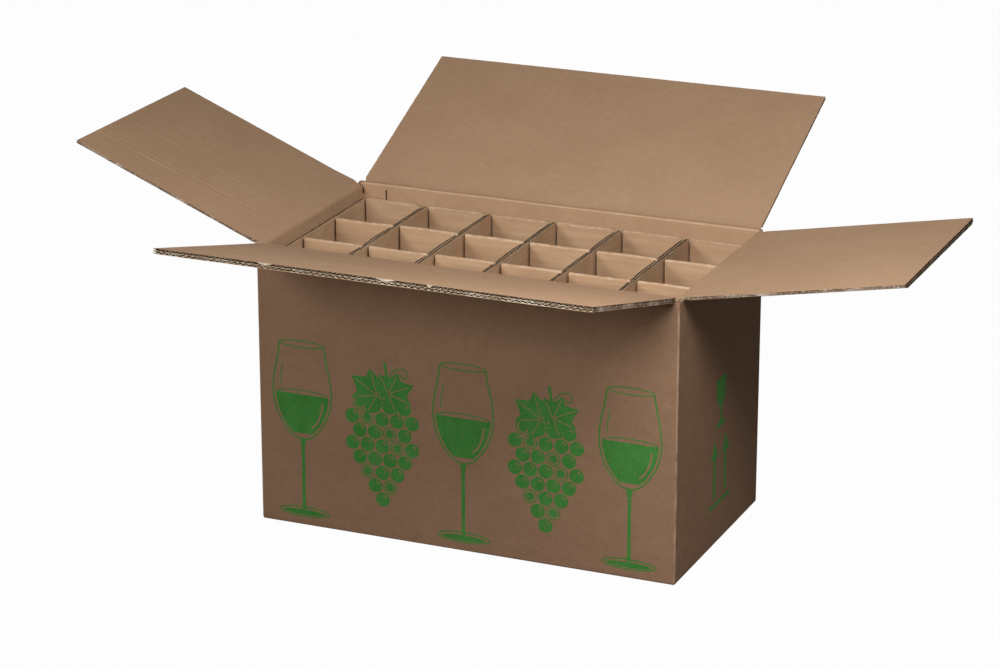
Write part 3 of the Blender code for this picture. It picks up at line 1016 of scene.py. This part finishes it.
@dataclass
class InnerFold:
    """The inner liner bent over a fold, from the wall's inner face to the flap's.

    The board is crushed here.
    """

    side: Side
    seed: float
    radius: float
    skin: float = 0.0002
    thickness: float = 0.0012
    overlap: float = 0.006
    taper: float = 0.004
    tuck: float = 0.0001
    slack: float = 0.0004
    side_gap: float = 0.0002
    rim_bend: float = 0.0012
    reliefs: Tuple[float, float] = (0.0035, 0.0035)

    def section(self) -> Outline:
        """Give the liner's line over the fold, about the pivot, at rest."""
        along, square = self.side.flap_axes()
        if self.side.fold is Fold.RIM:
            # Up the wall, over its inner corner, and in a wide bend onto the flap
            start, end, corner_radius, flap_radius = -0.012, 0.011, 0.0026, 0.0185
            far = along * end + square * (self.skin - BOX.layer_gap)
            wall = -BOX.board - self.skin
            return rounded([(wall, start), (wall, self.skin), (0.0, self.skin), tuple(far)],
                           [corner_radius, flap_radius], 8)
        depth = self.side.inner_level
        height = depth + self.skin
        ridge = along * (-height * (1 - along.y) / along.x) + square * height
        far = along * (BOX.fold_gap + depth + self.overlap) + square * height
        return rounded([(-height, -depth - self.overlap), tuple(ridge), tuple(far)],
                       [self.radius], 10)

    def build(self, palette: Palette) -> bpy.types.Object:
        """Build the strip over the fold, and give it.

        Args:
            palette: the box's materials.

        Returns:
            The strip as one piece.
        """
        trail = Trail(self.section())
        under = self.mitres()
        whole = trail.lengths[-1]

        def place(share_over: float, share_along: float, through: float) -> Vector:
            """Give a point of the strip."""
            gone = trail.lengths[round(share_over * (len(trail.points) - 1))]
            free = min(1.0, min(gone, whole - gone) / self.taper)
            sunk = -(self.skin + self.tuck) * (1.0 - free)
            spot = trail.at_corner(share_over, sunk)
            if through < 0.5 and under is None:
                spot = trail.at_corner(share_over, sunk - self.thickness)
            elif through < 0.5:
                spot = under.at(under.lengths[-1] * gone / whole, -self.tuck)
            relief = self.reliefs[0] if share_along < 0.5 else self.reliefs[1]
            narrow = max(0.0, relief - max(0.0, spot.x) / 2) + self.side_gap
            along = (2 * share_along - 1) * (self.side.half_span - narrow)
            middle = math.sin(math.pi * share_over) ** 2
            soft = self.slack * middle * wander(along, self.seed, 0.05)
            return Vector((spot.x + soft, along, spot.y + soft))
        slots = (FlapSlot.INNER, FlapSlot.FLUTING, FlapSlot.EDGE)
        shape = board_layer((len(trail.points) - 1, 60), place, slots)
        if self.side.fold is Fold.RIM:
            self.paint_ridge_highlight(shape)
        name = "fold_liner_" + self.side.name
        frame = self.side.pivot_frame()
        piece = add_piece(name, shape, palette.flap(self.side), frame, 50.0)
        start, end = self.reach()
        self.side.body
        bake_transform(piece)
        return piece

    @staticmethod
    def paint_ridge_highlight(shape: bmesh.types.BMesh) -> None:
        """Put the ridge's material, rubbed paler and painted with a highlight, on the faces that
        bend over the rim.
        """
        shape.normal_update()
        for face in shape.faces:
            bent = -0.9 < face.normal.x < -0.5 and face.normal.z > 0.0
            if face.material_index == FlapSlot.INNER and bent:
                face.material_index = FlapSlot.RIDGE_HIGHLIGHT

    def mitres(self) -> Optional[Trail]:
        """Give the line under the strip, down one mitred edge and up the other."""
        if self.side.fold is Fold.RIM:
            return None
        depth = self.side.inner_level
        start, end = (Vector((spot.x, spot.z)) for spot in self.reach())
        along, square = self.side.flap_axes()
        near = (square - Vector((1.0, 0.0))).normalized() * 0.1 * depth
        last = along * (BOX.fold_gap + depth + self.overlap) + square * depth
        return Trail([(-depth, -depth - self.overlap), tuple(start), tuple(near), tuple(end),
                      tuple(last)])

    def reach(self) -> Tuple[Vector, Vector]:
        """Give the points about the pivot where the bend starts and ends."""
        along, square = (Vector((axis.x, 0.0, axis.y)) for axis in self.side.flap_axes())
        if self.side.fold is Fold.RIM:
            return Vector((-self.rim_bend, 0.0, 0.0)), along * self.rim_bend
        depth = self.side.inner_level
        return Vector((-depth, 0.0, -depth)), (along + square) * depth


# Dividers

@dataclass
class FoldedDivider:
    """One divider: a single sheet folded round three cells, with two double pleats.

    Each edge field holds how far in from an outer face a form starts, and the width over
    which it fades: the panels' bow, the long side's bow and the panels' lower top.
    """

    number: int
    seed: float = field(init=False)
    liner: float = 0.00045
    core_drop: float = 0.0042
    flute_pitch: float = 0.0062
    flute_gap: float = 0.0001
    flute_drop: float = 0.0021
    flute_height: float = 0.0026
    paper: float = 0.0003
    panel_edge: Tuple[float, float] = (0.008, 0.004)
    long_edge: Tuple[float, float] = (0.0065, 0.002)
    low_edge: Tuple[float, float] = (0.006, 0.002)
    ripple: float = 0.0006
    corner_radius: float = 0.0008
    pleat_gap: float = 0.0012
    pleat_crease: float = 0.0005

    def __post_init__(self) -> None:
        """Draw this divider's own small lean and bows."""
        self.seed = 11.0 + self.number
        draw = random.Random(400 + self.number)
        self.lean = draw.uniform(-0.0006, 0.0006)
        self.twist = draw.uniform(-0.0022, 0.0022)
        self.panel_bows = [draw.uniform(0.0, 0.0009) for _ in range(INSERT.cells)]
        self.panel_bows[draw.randrange(INSERT.cells)] += 0.0012
        self.long_bow = draw.uniform(-0.0002, 0.0008)
        self.wall_bows = [draw.uniform(-0.002, 0.002) for _ in range(INSERT.cells + 1)]

    def settle(self, point: Vector) -> Vector:
        """Give where a point lies once the board has relaxed in the carton.

        Args:
            point: a point of the straight divider, from its own corner.

        Returns:
            The point in the carton's frame.
        """
        share = max(0.0, point.z / INSERT.height)
        step = INSERT.cell_width + INSERT.pleat
        cell = min(INSERT.cells - 1, max(0, int((point.y - INSERT.sheet) / step)))
        phase = (point.y - INSERT.sheet - cell * step) / INSERT.cell_width
        inside = math.sin(math.pi * clamped(phase))
        on_panel = clamped((point.x - INSERT.width + self.panel_edge[0]) / self.panel_edge[1])
        on_long = clamped((self.long_edge[0] - point.x) / self.long_edge[1])
        moved = point.copy()
        moved.x -= on_panel * inside * self.panel_bows[cell] * share ** 2
        moved.x += on_long * math.sin(math.pi * point.y / INSERT.length) * self.long_bow * share
        moved.x += self.lean * share + self.twist * (point.y / INSERT.length - 0.5) * share
        wall = min(INSERT.cells, max(0, round((point.y - INSERT.sheet) / step)))
        across = math.sin(math.pi * clamped(point.x / INSERT.width))
        between = 1.0 - max(on_panel, on_long)
        moved.y += between * across * self.wall_bows[wall] * share ** 1.5
        rough = wander(point.x + 3 * point.y, self.seed, 0.035)
        moved.z += self.ripple * rough * share ** 6
        left = INSERT.left + self.number * INSERT.pitch
        return moved + Vector((left, INSERT.front, INSERT.base))

    def strips(self) -> List[Tuple[Trail, bool]]:
        """Give the upright strips' lines in plan, and whether each starts on the left."""
        half = INSERT.sheet / 2
        side = INSERT.width - half
        tip = INSERT.sheet + INSERT.end_gap
        far = INSERT.length - half
        turn = INSERT.bend - half + self.corner_radius
        lines = []
        low = INSERT.sheet + INSERT.cell_width
        middle = INSERT.sheet - INSERT.slit / 2
        step = INSERT.cell_width + INSERT.pleat
        first = rounded([(half, INSERT.length), (half, half), (side, half),
                         (side, low + middle)], [self.corner_radius, turn], 4)
        second_start = low + INSERT.pleat - middle
        second = [(side, second_start), (side, low + step + middle)]
        third = rounded([(side, second_start + step), (side, far), (tip, far)], [turn], 4)
        for line in (first, second, third):
            lines.append(Trail(self.finely(line)))
        return lines

    @staticmethod
    def finely(line: Outline, step: float = 0.007) -> Outline:
        """Add points to a line, so that no piece of it is longer than a step."""
        fine = [line[0]]
        for first, second in zip(line, line[1:]):
            start, end = Vector(first), Vector(second)
            parts = max(1, math.ceil((end - start).length / step))
            fine += [tuple(start.lerp(end, n / parts)) for n in range(1, parts + 1)]
        return fine

    def top(self, plan: Vector) -> float:
        """Give how high the board stands at a place in plan."""
        on_right = clamped((plan.x - INSERT.width + self.low_edge[0]) / self.low_edge[1])
        return INSERT.height - INSERT.panel_drop * on_right

    def strip(self, trail: Trail, low: float, high: float, drop: float,
              slots: Tuple[int, int, int]) -> bmesh.types.BMesh:
        """Make one upright layer of board along a line.

        Args:
            trail: the board's middle line in plan.
            low: offset of the layer's right face.
            high: offset of its left face.
            drop: how far it ends below the board's top.
            slots: material slots of its faces and rim.

        Returns:
            The layer as a bmesh.
        """
        def place(share_on: float, share_up: float, through: float) -> Vector:
            """Give a point of the layer."""
            plan = trail.at_corner(share_on, low + (high - low) * through)
            height = (self.top(plan) - drop) * share_up ** 0.7
            return self.settle(Vector((plan.x, plan.y, height)))
        return board_layer((len(trail.points) - 1, 9), place, slots)

    def liners(self, trail: Trail) -> bmesh.types.BMesh:
        """Make a strip's two liners, painted with the flutes' shade where they face each other.
        """
        half = INSERT.sheet / 2
        liner, edge, shade = DividerSlot.LINER, DividerSlot.EDGE, DividerSlot.FLUTING
        pair = self.strip(trail, half - self.liner, half, 0.0, (liner, shade, edge))
        absorb(pair, self.strip(trail, -half, self.liner - half, 0.0, (shade, liner, edge)))
        pair.normal_update()
        for face in pair.faces:
            # Along the carton's length the edge is pressed shut, and shows pale
            if face.material_index == shade and abs(face.normal.y) > 0.7:
                face.material_index = edge
        return pair

    def fluting(self, trail: Trail) -> bmesh.types.BMesh:
        """Make the open flutes that show along a strip's top edge."""
        whole = trail.lengths[-1]
        waves = max(1, round(whole / self.flute_pitch))
        swing = INSERT.sheet / 2 - self.liner - self.flute_gap

        def place(share_on: float, share_up: float, through: float) -> Vector:
            """Give a point of the fluted sheet."""
            turn = 2 * math.pi * waves * share_on
            offset = swing * math.sin(turn) + (through - 0.5) * self.paper
            plan = trail.at(whole * share_on, offset)
            height = self.top(plan) - self.flute_drop - self.flute_height * (1.0 - share_up)
            return self.settle(Vector((plan.x, plan.y, height)))
        return board_layer((waves * 8, 1), place, (DividerSlot.FLUTING,) * 3)

    def pleat(self, start: float, line: int) -> bmesh.types.BMesh:
        """Make one pleat: the sheet folded double over a round top.

        Args:
            start: where the pleat starts along the divider.
            line: number that sets its wrinkles apart.

        Returns:
            The pleat as a bmesh.
        """
        board = INSERT.sheet - INSERT.slit / 2
        reach = INSERT.sheet - board / 2
        middle = start + INSERT.sheet
        crown = INSERT.height - INSERT.sheet
        step = 0.035
        trail = Trail(self.finely([(middle - reach, 0.0), (middle - reach, crown)], step)
                      + [(middle - reach * math.cos(math.pi * n / 8),
                          crown + reach * math.sin(math.pi * n / 8)) for n in range(1, 8)]
                      + self.finely([(middle + reach, crown), (middle + reach, 0.0)], step))
        left = INSERT.sheet + INSERT.end_gap + self.pleat_gap
        right = INSERT.width - self.pleat_gap

        def place(share_over: float, share_along: float, through: float) -> Vector:
            """Give a point of the pleat."""
            spot = trail.at_corner(share_over, (through - 0.5) * board)
            along = left + (right - left) * share_along
            # Its wrinkles grow over the top seventh
            near_top = max(0.0, (spot.y / INSERT.height - 0.86) / 0.14)
            crease = self.pleat_crease * near_top * wander(along, self.seed + line, 0.02)
            return self.settle(Vector((along, spot.x + crease, spot.y)))
        slots = (DividerSlot.LINER, DividerSlot.LINER, DividerSlot.EDGE)
        return board_layer((len(trail.points) - 1, 18), place, slots)

    def build(self, palette: Palette) -> bpy.types.Object:
        """Build the divider, and let it stand for its CAD node.

        Args:
            palette: the box's materials.

        Returns:
            The divider as one piece.
        """
        shape = bmesh.new()
        half = INSERT.sheet / 2
        for trail in self.strips():
            absorb(shape, self.liners(trail))
            # The core between the liners stands lower, painted near black as the shade between
            # them
            absorb(shape, self.strip(trail, self.liner - half, half - self.liner,
                                     self.core_drop, (DividerSlot.SHADED_HOLLOW,) * 3))
            absorb(shape, self.fluting(trail))
        step = INSERT.cell_width + INSERT.pleat
        for pleat in range(INSERT.cells - 1):
            absorb(shape, self.pleat(INSERT.sheet + INSERT.cell_width + pleat * step, pleat))
        materials = [palette.divider, palette.divider_edge, palette.shaded_divider_fluting,
                     palette.painted_shade]
        name = "divider_" + str(self.number + 1)
        piece = add_piece(name, shape, materials, Matrix())
        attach(piece, "carton")
        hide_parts("divider_insert_" + str(self.number + 1))
        return piece


def build_tab_end(palette: Palette) -> bpy.types.Object:
    """Build two thin slabs at the glued tab's fold and free end, painted near black as the shade
    in the gaps at its crushed edges; they show as two short dark lines over the dividers at the
    back left.

    Args:
        palette: the box's materials.

    Returns:
        The tab's edges as one piece.
    """
    tab_fold, tab_end = -0.2626, -0.2307
    # They stand out less than the closed end flap's gap to the wall
    across, deep, tall, top = 0.0011, 0.0010, 0.019, 0.3471
    sunk = 0.0002
    inner_wall = BOX.half_width - BOX.board
    shape = bmesh.new()
    for place in (tab_fold, tab_end):
        edge = bmesh.new()
        bmesh.ops.create_cube(edge, size=1.0)
        bmesh.ops.scale(edge, vec=(across, deep, tall), verts=edge.verts[:])
        middle = (place, inner_wall - deep / 2 + sunk, top - tall / 2)
        bmesh.ops.translate(edge, vec=middle, verts=edge.verts[:])
        absorb(shape, edge)
    piece = add_piece("glued_tab_gap_shadows", shape, [palette.painted_shade], Matrix())
    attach(piece, "carton")
    return piece


# Print

class InkSheet:
    """Printed shapes on one wall: thin fields and lines of ink in the wall's own frame.

    Its layers stand far enough apart that none flickers through the next.
    """

    standoff = 0.00002
    layer_step = 0.00005
    film = 0.00004

    def __init__(self, side: Side) -> None:
        """Start with no shapes on a wall."""
        self.side = side
        self.shape = bmesh.new()

    def field(self, outline: Outline, layer: int = 0) -> None:
        """Add a filled field.

        Args:
            outline: its points along the wall and up.
            layer: even for ink and odd for bare liner, each over the layers before it.
        """
        part = bmesh.new()
        part.faces.new([part.verts.new((0.0, along, up)) for along, up in outline])
        self.press(part, layer)

    def press(self, part: bmesh.types.BMesh, layer: int) -> None:
        """Give a flat shape the thickness and the standoff of its layer, and keep it."""
        bmesh.ops.translate(part, verts=part.verts[:], vec=(
            self.standoff + self.layer_step * layer, 0.0, 0.0))
        grown = bmesh.ops.extrude_face_region(part, geom=part.faces[:])
        bmesh.ops.translate(part, verts=new_verts(grown), vec=(self.film, 0.0, 0.0))
        bmesh.ops.recalc_face_normals(part, faces=part.faces)
        bmesh.ops.triangulate(part, faces=[f for f in part.faces if len(f.verts) > 4])
        for face in part.faces:
            face.material_index = layer % 2
        absorb(self.shape, part)

    def line(self, points: Outline, width: float, closed: bool = False,
             layer: int = 0) -> None:
        """Add a line of even width.

        Args:
            points: the line's points along the wall and up.
            width: its width.
            closed: whether its ends meet.
            layer: as for a field.
        """
        count = len(points)
        spots = [Vector(point) for point in points]
        part = bmesh.new()
        rail = []
        normals = []
        for number, spot in enumerate(spots):
            before = spots[(number - 1) % count] if closed or number else spot
            after = spots[(number + 1) % count] if closed or number < count - 1 else spot
            along = (after - before).normalized()
            normal = Vector((-along.y, along.x)) * width / 2
            normals.append(normal)
            rail.append(part.verts.new((0.0, spot.x - normal.x, spot.y - normal.y)))
        ends = range(count if closed else count - 1)
        edges = [part.edges.new((rail[n], rail[(n + 1) % count])) for n in ends]
        for vert in new_verts(bmesh.ops.extrude_edge_only(part, edges=edges)):
            nearest = min(range(count), key=lambda n: (rail[n].co - vert.co).length)
            vert.co += Vector((0.0, 2 * normals[nearest].x, 2 * normals[nearest].y))
        self.press(part, layer)

    def build(self, name: str, palette: Palette) -> bpy.types.Object:
        """Build the print as one piece on the carton."""
        materials = [palette.ink, palette.carton]
        piece = add_piece(name, self.shape, materials, self.side.wall_frame())
        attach(piece, "carton")
        return piece


def through(points: Outline, steps: int = 6) -> Outline:
    """Give a smooth line through some points.

    Args:
        points: the points that it passes.
        steps: pieces between each two points.

    Returns:
        The line's points.
    """
    spots = [Vector(points[0])] + [Vector(point) for point in points] + [Vector(points[-1])]
    line = []
    for number in range(1, len(spots) - 2):
        before, start, end, after = spots[number - 1:number + 3]
        for step in range(steps):
            t = step / steps
            point = 0.5 * (2 * start + (end - before) * t
                           + (2 * before - 5 * start + 4 * end - after) * t ** 2
                           + (3 * start - before - 3 * end + after) * t ** 3)
            line.append(tuple(point))
    line.append(points[-1])
    return line


def shifted(points: Outline, along: float, up: float, hand: float = 1.0) -> Outline:
    """Move points along the wall and up, on their own side or, with -1, the other."""
    return [(along + hand * out, up + height) for out, height in points]


def ring(centre: Point, across: float, up: float, steps: int = 28) -> Outline:
    """Give the points of an ellipse."""
    return [(centre[0] + across * math.cos(2 * math.pi * n / steps),
             centre[1] + up * math.sin(2 * math.pi * n / steps)) for n in range(steps)]


@dataclass
class FrontPrint:
    """Green print on the front wall: glasses and bunches of grapes in turn.

    A motif's points run out from its middle line and up from its foot.
    """

    floor: float = 0.012
    glass_height: float = 0.222
    brim_radius: float = 0.0295
    wine_level: float = 0.158
    wine_radius: float = 0.0345
    motif_step: float = 0.106
    berry: float = 0.0092
    top_row: float = 0.158
    rows: Tuple[int, ...] = (4, 5, 4, 5, 4, 3, 2, 1)

    def glass(self, sheet: InkSheet, middle: float) -> None:
        """Draw one stemmed glass with wine in it.

        Args:
            sheet: the wall's print.
            middle: where its stem stands along the wall.
        """
        foot = self.floor
        brim = foot + self.glass_height
        fill = self.wine_level
        half = through([(0.0032, 0.100), (0.016, 0.107), (0.031, 0.127), (0.0385, 0.152),
                        (0.0375, 0.178), (0.0325, 0.202), (self.brim_radius, self.glass_height)])
        sheet.line(shifted(half, middle, foot), width=0.0019)
        sheet.line(shifted(half, middle, foot, -1.0), width=0.0019)
        sheet.line(ring((middle, brim), self.brim_radius, 0.0042), width=0.0014, closed=True,
                   layer=2)
        stem = [(0.0030, 0.0095), (0.0022, 0.022), (0.0022, 0.088), (0.0042, 0.1015)]
        sheet.field(shifted(stem, middle, foot) + shifted(stem[::-1], middle, foot, -1.0),
                    layer=2)
        sheet.line(ring((middle, foot + 0.006), 0.0335, 0.0062), width=0.0016, closed=True)
        sheet.field(ring((middle, foot + 0.0052), 0.0285, 0.0036))
        wine = [(out - 0.0032, up + 0.001) for out, up in half if 0.106 < up < fill]
        wine.append((self.wine_radius, fill))
        sheet.field(shifted(wine, middle, foot) + shifted(wine[::-1], middle, foot, -1.0))
        sheet.line(ring((middle, foot + fill), self.wine_radius, 0.0052), width=0.0013,
                   closed=True, layer=2)
        shine = through([(0.0265, 0.150), (0.0255, 0.138), (0.019, 0.123), (0.012, 0.116)])
        sheet.line(shifted(shine, middle, foot), width=0.0024, layer=1)
        glint = through([(-0.0255, 0.197), (-0.028, 0.182), (-0.029, 0.168)])
        sheet.line(shifted(glint, middle, foot), width=0.0013)

    def leaf(self, sheet: InkSheet, middle: Point, size: float, turn: float,
             layer: int) -> None:
        """Draw one vine leaf with its veins.

        Args:
            sheet: the wall's print.
            middle: the end of its stalk.
            size: length from the stalk to the tip.
            turn: direction of its tip, in degrees from upright.
            layer: the layer of its field, with its veins in the next one.
        """
        spokes = [(-180, 0.05), (-150, 0.40), (-132, 0.34), (-112, 0.56), (-92, 0.74),
                  (-74, 0.56), (-58, 0.60), (-42, 0.86), (-26, 0.66), (-14, 0.74), (0, 1.0)]
        spokes += [(-angle, reach) for angle, reach in spokes[-2:0:-1]]
        veins = ((-92, 0.6), (-42, 0.72), (0, 0.85), (42, 0.72), (92, 0.6))

        def spot(spoke: Point) -> Point:
            """Give a point of the leaf from its angle and its share of the size."""
            heading = math.radians(spoke[0]) - math.radians(turn)
            return (middle[0] + size * spoke[1] * math.sin(heading),
                    middle[1] + size * spoke[1] * math.cos(heading))
        sheet.field([spot(spoke) for spoke in spokes], layer)
        for vein in veins:
            sheet.line([middle, spot(vein)], width=0.0011, layer=layer + 1)

    def grapes(self, sheet: InkSheet, middle: float) -> None:
        """Draw one bunch of grapes under two leaves.

        Args:
            sheet: the wall's print.
            middle: its middle along the wall.
        """
        berry = self.berry
        row_step, berry_step = 1.86 * berry, 2.14 * berry
        for row, count in enumerate(self.rows):
            height = self.floor + self.top_row - row * row_step
            for number in range(count):
                spot = (middle + (number - (count - 1) / 2) * berry_step, height)
                # One berry in five is drawn as an outline round a pip
                if (row * 3 + number * 2) % 5 == 0:
                    sheet.line(ring(spot, berry - 0.0009, berry - 0.0009, 20), width=0.0016,
                               closed=True)
                    sheet.field(ring(spot, berry - 0.0036, berry - 0.0036, 14))
                else:
                    sheet.field(ring(spot, berry, berry, 20))
                    shine = ring(spot, 0.0056, 0.0056, 18)[1:5]
                    sheet.line(shine, width=0.0015, layer=1)
        self.leaf(sheet, (middle - 0.006, self.floor + 0.171), size=0.040, turn=58.0, layer=2)
        self.leaf(sheet, (middle + 0.009, self.floor + 0.175), size=0.036, turn=-66.0, layer=4)
        stalk = through([(0.0, 0.162), (0.001, 0.178), (0.006, 0.196), (0.004, 0.214)])
        sheet.line(shifted(stalk, middle, self.floor), width=0.0034)
        curl = through([(0.005, 0.192), (0.018, 0.206), (0.030, 0.208), (0.033, 0.200),
                        (0.028, 0.196), (0.024, 0.201)])
        sheet.line(shifted(curl, middle, self.floor), width=0.0014, layer=6)

    def build(self, palette: Palette) -> bpy.types.Object:
        """Print the row of motifs on the front wall."""
        sheet = InkSheet(FRONT)
        for step in (-2, 0, 2):
            self.glass(sheet, step * self.motif_step)
        for step in (-1, 1):
            self.grapes(sheet, step * self.motif_step)
        return sheet.build("print_front", palette)


@dataclass
class EndPrint:
    """Plain handling signs on the right wall: two arrows up over a bar, and a glass."""

    arrows: Point = (0.004, 0.050)
    arrow_offset: float = 0.019
    glass_foot: Point = (0.004, 0.149)

    def build(self, palette: Palette) -> bpy.types.Object:
        """Print the signs on the right wall."""
        sheet = InkSheet(RIGHT)
        along, low = self.arrows
        bar = [(0.036, 0.0), (0.036, 0.005)]
        arrow = [(0.0035, 0.011), (0.0035, 0.062), (0.013, 0.062), (0.0, 0.085)]
        glass = [(0.015, 0.0), (0.015, 0.004), (0.0028, 0.0075), (0.0028, 0.024),
                 (0.013, 0.033), (0.017, 0.045), (0.0165, 0.062)]
        signs = [(bar, along, low), (arrow, along - self.arrow_offset, low),
                 (arrow, along + self.arrow_offset, low), (glass, *self.glass_foot)]
        for half, middle, foot in signs:
            # A point on the middle line belongs to both halves, and is taken once
            other = [point for point in half[::-1] if point[0] > 0.0]
            sheet.field(shifted(half, middle, foot) + shifted(other, middle, foot, -1.0))
        return sheet.build("print_end", palette)


# Floor, light and camera

@dataclass(frozen=True)
class Studio:
    """Plain white studio with soft light from above."""

    floor_colour: str = "#8F8D8B"
    ambient: float = 0.06
    floor_glow: float = 0.98
    floor_radius: float = 14.0
    floor_gap: float = 0.0004
    aim_height: float = 0.25
    camera_at: Tuple[float, float, float] = (1.5171, -3.5812, 1.5597)
    camera_yaw: float = 23.16
    camera_pitch: float = 18.88
    lens_mm: float = 121.75
    sensor_mm: float = 36.0

    @staticmethod
    def seen(tree: bpy.types.NodeTree) -> bpy.types.NodeSocket:
        """Give a value that is 1 for camera, glossy and transmission rays."""
        rays = add_node(tree, "LightPath").outputs
        first = add_node(tree, "Math", {0: rays["Is Camera Ray"], 1: rays["Is Glossy Ray"]},
                         operation="MAXIMUM")
        return add_node(tree, "Math", {0: first.outputs[0], 1: rays["Is Transmission Ray"]},
                        operation="MAXIMUM").outputs[0]

    def build_world(self) -> None:
        """Make a white background that lights the box only softly."""
        world = bpy.data.worlds.new("studio")
        world.use_nodes = True
        bpy.context.scene.world = world
        tree = world.node_tree
        plain = tree.nodes["Background"]
        plain.inputs["Color"].default_value = (1.0, 1.0, 1.0, 1.0)
        plain.inputs["Strength"].default_value = self.ambient
        white = add_node(tree, "Background", {"Color": (1.0, 1.0, 1.0, 1.0), "Strength": 1.0})
        both = add_node(tree, "MixShader", {0: self.seen(tree), 1: plain.outputs[0],
                                            2: white.outputs[0]})
        tree.links.new(both.outputs[0], tree.nodes["World Output"].inputs["Surface"])

    def build_floor(self) -> None:
        """Lay a pale floor that shows white, and keeps the box's shadow faintly."""
        shape = bmesh.new()
        bmesh.ops.create_circle(shape, cap_ends=True, radius=self.floor_radius, segments=64)
        bmesh.ops.translate(shape, verts=shape.verts[:], vec=(0.0, 0.0, -self.floor_gap))
        mesh = bpy.data.meshes.new("floor")
        shape.to_mesh(mesh)
        shape.free()
        floor = bpy.data.objects.new("floor", mesh)
        bpy.context.scene.collection.objects.link(floor)
        material = bpy.data.materials.new("floor_matt_white")
        material.use_nodes = True
        tree = material.node_tree
        paint = tree.nodes["Principled BSDF"]
        paint.inputs["Base Color"].default_value = linear(self.floor_colour)
        paint.inputs["Roughness"].default_value = 1.0
        paint.inputs["Specular IOR Level"].default_value = 0.0
        glow = add_node(tree, "Emission", {"Color": (1.0, 1.0, 1.0, 1.0), "Strength": 1.0})
        share = add_node(tree, "Math", {0: self.seen(tree), 1: self.floor_glow},
                         operation="MULTIPLY")
        both = add_node(tree, "MixShader", {0: share.outputs[0], 1: paint.outputs[0],
                                            2: glow.outputs[0]})
        tree.links.new(both.outputs[0], tree.nodes["Material Output"].inputs["Surface"])
        mesh.materials.append(material)

    def add_softbox(self, name: str, place: Tuple[float, float, float], size: float,
                    power: float) -> None:
        """Hang a square softbox that faces the middle of the box.

        Args:
            name: the lamp's name.
            place: where it hangs.
            size: length of its side.
            power: its power in watts.
        """
        lamp = bpy.data.lights.new(name, "AREA")
        lamp.shape = "SQUARE"
        lamp.size = size
        lamp.energy = power
        item = bpy.data.objects.new(name, lamp)
        item.location = place
        aim = Vector((0.0, 0.0, self.aim_height)) - Vector(place)
        item.rotation_euler = aim.to_track_quat("-Z", "Y").to_euler()
        bpy.context.scene.collection.objects.link(item)

    def build_camera(self) -> None:
        """Set the camera where the photograph was taken from."""
        lens = bpy.data.cameras.new("camera")
        lens.lens = self.lens_mm
        lens.sensor_width = self.sensor_mm
        lens.sensor_fit = "HORIZONTAL"
        lens.clip_start = 0.05
        camera = bpy.data.objects.new("camera", lens)
        camera.location = self.camera_at
        camera.rotation_euler = (math.radians(90.0 - self.camera_pitch), 0.0,
                                 math.radians(self.camera_yaw))
        bpy.context.scene.collection.objects.link(camera)
        bpy.context.scene.camera = camera

    def build(self) -> None:
        """Build the world, floor, lamps and camera."""
        bpy.context.scene.view_settings.view_transform = "Standard"
        self.build_world()
        self.build_floor()
        self.add_softbox("front_softbox", (-0.7, -1.92, 1.07), size=0.5, power=19.8)
        self.add_softbox("top_softbox", (0.5, -0.7, 1.1), size=0.5, power=9.0)
        # Low, so that the open back flap keeps it off everything that faces the camera
        self.add_softbox("back_softbox", (-0.6, 2.1, 0.32), size=0.5, power=9.0)
        self.add_softbox("right_softbox", (1.35, -1.0, 1.6), size=0.4, power=6.2)
        self.build_camera()


# The whole

def main() -> None:
    """Dress the box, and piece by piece."""
    logging.basicConfig(level=logging.INFO, format="%(name)s %(message)s")
    for item in list(bpy.data.objects):
        bpy.data.objects.remove(item, do_unlink=True)
    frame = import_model()
    Studio().build()
    palette = Palette()
    body = frame["nodes"]["carton_body"]
    body.data.materials.clear()
    body.data.materials.append(palette.carton)
    # The front flap's liner rim takes the dark fluting colour, as painted shade over its inner
    # row of flutes
    flaps = [TopFlap(FRONT, 1.0, side_crush=0.1, tears=TEARS, top_rim=FlapSlot.FLUTING),
             TopFlap(BACK, 2.0, side_crush=0.5),
             TopFlap(LEFT, 3.0, side_crush=0.35, ribs_mm=0.03, wrinkles=WRINKLES),
             TopFlap(RIGHT, 4.0, side_crush=0.45)]
    for flap in flaps:
        flap.build(palette)
    folds = [InnerFold(FRONT, 5.0, radius=0.003),
             InnerFold(BACK, 6.0, radius=0.003, reliefs=(0.0, 0.0035)),
             InnerFold(LEFT, 7.0, radius=0.006), InnerFold(RIGHT, 8.0, radius=0.006)]
    for fold in folds:
        fold.build(palette)
    for number in range(INSERT.count):
        FoldedDivider(number).build(palette)
    build_tab_end(palette)
    FrontPrint().build(palette)
    EndPrint().build(palette)


if __name__ == "__main__":
    main()
